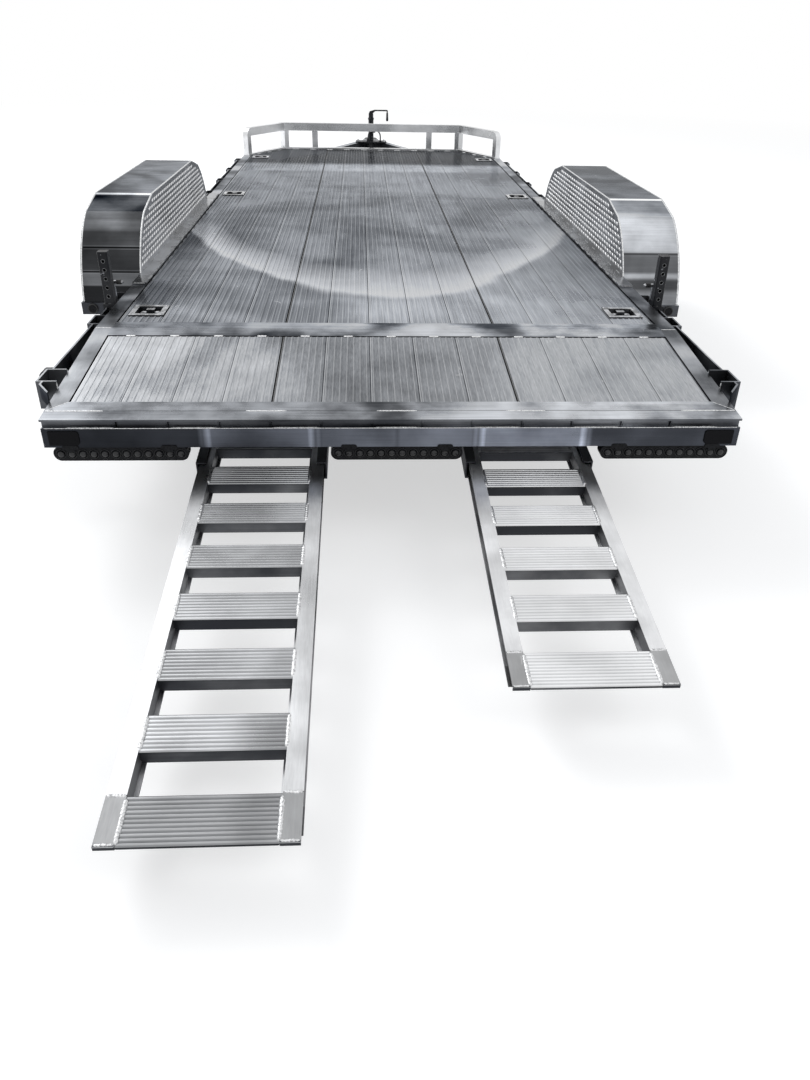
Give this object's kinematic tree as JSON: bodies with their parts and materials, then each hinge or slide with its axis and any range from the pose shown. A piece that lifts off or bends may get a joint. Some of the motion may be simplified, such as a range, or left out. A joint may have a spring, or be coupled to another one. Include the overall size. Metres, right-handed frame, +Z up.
{
  "type": "car trailer",
  "caption": "Open aluminium car trailer: planked deck with a sloping tail, two pull-out ramps, fenders over tandem wheels, drop legs, tie-down rings, front rail, tongue and jack.",
  "frame": {"origin": "on the ground, midway along the trailer with its ramps drawn out as in the picture, in the plane of symmetry", "axes": "+X to the right seen from behind, +Y forwards to the hitch, +Z up"},
  "size_m": [2.59, 8.0651, 0.733],
  "materials": {
    "aluminium": "mill finish, softly reflecting",
    "planks": "ribbed mill-finish extrusion",
    "tread_plate": "raised tread pattern",
    "zinc": "bright zinc plate",
    "wheel_metal": "cast, satin",
    "black_paint": "satin black",
    "black_plastic": "moulded",
    "black_rubber": "satin",
    "tyre": "used",
    "lens": "dark lenses"
  },
  "bodies": {
    "trailer": {"side_rail_left": "aluminium", "side_rail_right": "aluminium", "nose_frame": "aluminium", "cross_members": "aluminium", "deck_planks": "planks", "tail_planks": "planks", "bend_plate": "aluminium", "rear_header": "aluminium", "rear_plate": "aluminium", "marker_lights": "lens", "reflectors": "black_rubber", "front_rail": "aluminium", "fender_left": "aluminium", "fender_right": "aluminium", "fender_side_left": "tread_plate", "fender_side_right": "tread_plate", "fender_bars": "aluminium", "rub_rails": "aluminium", "stake_pockets_left": "aluminium", "stake_pockets_right": "aluminium", "leg_sleeves": "black_paint", "leg_pins": "zinc", "side_arm": "black_paint", "ramp_guides": "aluminium", "axle_rear": "black_paint", "axle_front": "black_paint", "tie_down_pans": "zinc", "tongue": "aluminium", "coupler": "black_paint", "jack_tube": "black_paint", "wiring_lead": "black_rubber", "lead_plug": "black_plastic"},
    "wheel_rear_left": {"tyre_rear_left": "tyre", "wheel_rear_left": "wheel_metal"},
    "wheel_rear_right": {"tyre_rear_right": "tyre", "wheel_rear_right": "wheel_metal"},
    "wheel_front_left": {"tyre_front_left": "tyre", "wheel_front_left": "wheel_metal"},
    "wheel_front_right": {"tyre_front_right": "tyre", "wheel_front_right": "wheel_metal"},
    "ramp_left": {"ramp_rails_left": "aluminium", "ramp_treads_left": "planks"},
    "ramp_right": {"ramp_rails_right": "aluminium", "ramp_treads_right": "planks"},
    "leg_left": {"drop_leg_left": "black_paint"},
    "leg_right": {"drop_leg_right": "black_paint"},
    "jack_foot": {"jack_leg": "zinc"},
    "crank": {"jack_crank": "black_paint"},
    "tie_ring_rear_left": {"ring_rear_left": "zinc"},
    "tie_ring_rear_right": {"ring_rear_right": "zinc"},
    "tie_ring_middle_left": {"ring_middle_left": "zinc"},
    "tie_ring_middle_right": {"ring_middle_right": "zinc"},
    "tie_ring_front_left": {"ring_front_left": "zinc"},
    "tie_ring_front_right": {"ring_front_right": "zinc"}
  },
  "joints": [
    {"name": "wheel_rear_left_spin", "type": "hinge", "parent": "trailer", "child": "wheel_rear_left", "pos_m": [-1.167, -0.89445, 0.331], "axis": [1, 0, 0], "continuous": true},
    {"name": "wheel_rear_right_spin", "type": "hinge", "parent": "trailer", "child": "wheel_rear_right", "pos_m": [1.167, -0.89445, 0.331], "axis": [1, 0, 0], "continuous": true},
    {"name": "wheel_front_left_spin", "type": "hinge", "parent": "trailer", "child": "wheel_front_left", "pos_m": [-1.167, -0.03045, 0.331], "axis": [1, 0, 0], "continuous": true},
    {"name": "wheel_front_right_spin", "type": "hinge", "parent": "trailer", "child": "wheel_front_right", "pos_m": [1.167, -0.03045, 0.331], "axis": [1, 0, 0], "continuous": true},
    {"name": "ramp_left_slide", "type": "slide", "parent": "trailer", "child": "ramp_left", "axis": [0, 0.9954, 0.0958], "range_m": [-0.1, 1.255]},
    {"name": "ramp_right_slide", "type": "slide", "parent": "trailer", "child": "ramp_right", "axis": [0, 0.9954, 0.0958], "range_m": [-0.47, 0.885]},
    {"name": "leg_left_slide", "type": "slide", "parent": "trailer", "child": "leg_left", "axis": [0, 0, 1], "range_m": [-0.2, 0]},
    {"name": "leg_right_slide", "type": "slide", "parent": "trailer", "child": "leg_right", "axis": [0, 0, 1], "range_m": [-0.2, 0]},
    {"name": "jack_slide", "type": "slide", "parent": "trailer", "child": "jack_foot", "axis": [0, 0, 1], "range_m": [0, 0.195]},
    {"name": "crank_turn", "type": "hinge", "parent": "trailer", "child": "crank", "pos_m": [0, 3.64255, 0.66883], "axis": [0, 0, 1], "continuous": true},
    {"name": "tie_ring_rear_left_swing", "type": "hinge", "parent": "trailer", "child": "tie_ring_rear_left", "pos_m": [-0.896, -1.86345, 0.45413], "axis": [-1, 0, 0], "range_deg": [0, 100]},
    {"name": "tie_ring_rear_right_swing", "type": "hinge", "parent": "trailer", "child": "tie_ring_rear_right", "pos_m": [0.896, -1.86345, 0.45413], "axis": [-1, 0, 0], "range_deg": [0, 100]},
    {"name": "tie_ring_middle_left_swing", "type": "hinge", "parent": "trailer", "child": "tie_ring_middle_left", "pos_m": [-0.896, 0.66655, 0.45413], "axis": [-1, 0, 0], "range_deg": [0, 100]},
    {"name": "tie_ring_middle_right_swing", "type": "hinge", "parent": "trailer", "child": "tie_ring_middle_right", "pos_m": [0.896, 0.66655, 0.45413], "axis": [-1, 0, 0], "range_deg": [0, 100]},
    {"name": "tie_ring_front_left_swing", "type": "hinge", "parent": "trailer", "child": "tie_ring_front_left", "pos_m": [-0.896, 2.34655, 0.45413], "axis": [-1, 0, 0], "range_deg": [0, 100]},
    {"name": "tie_ring_front_right_swing", "type": "hinge", "parent": "trailer", "child": "tie_ring_front_right", "pos_m": [0.896, 2.34655, 0.45413], "axis": [-1, 0, 0], "range_deg": [0, 100]}
  ]
}
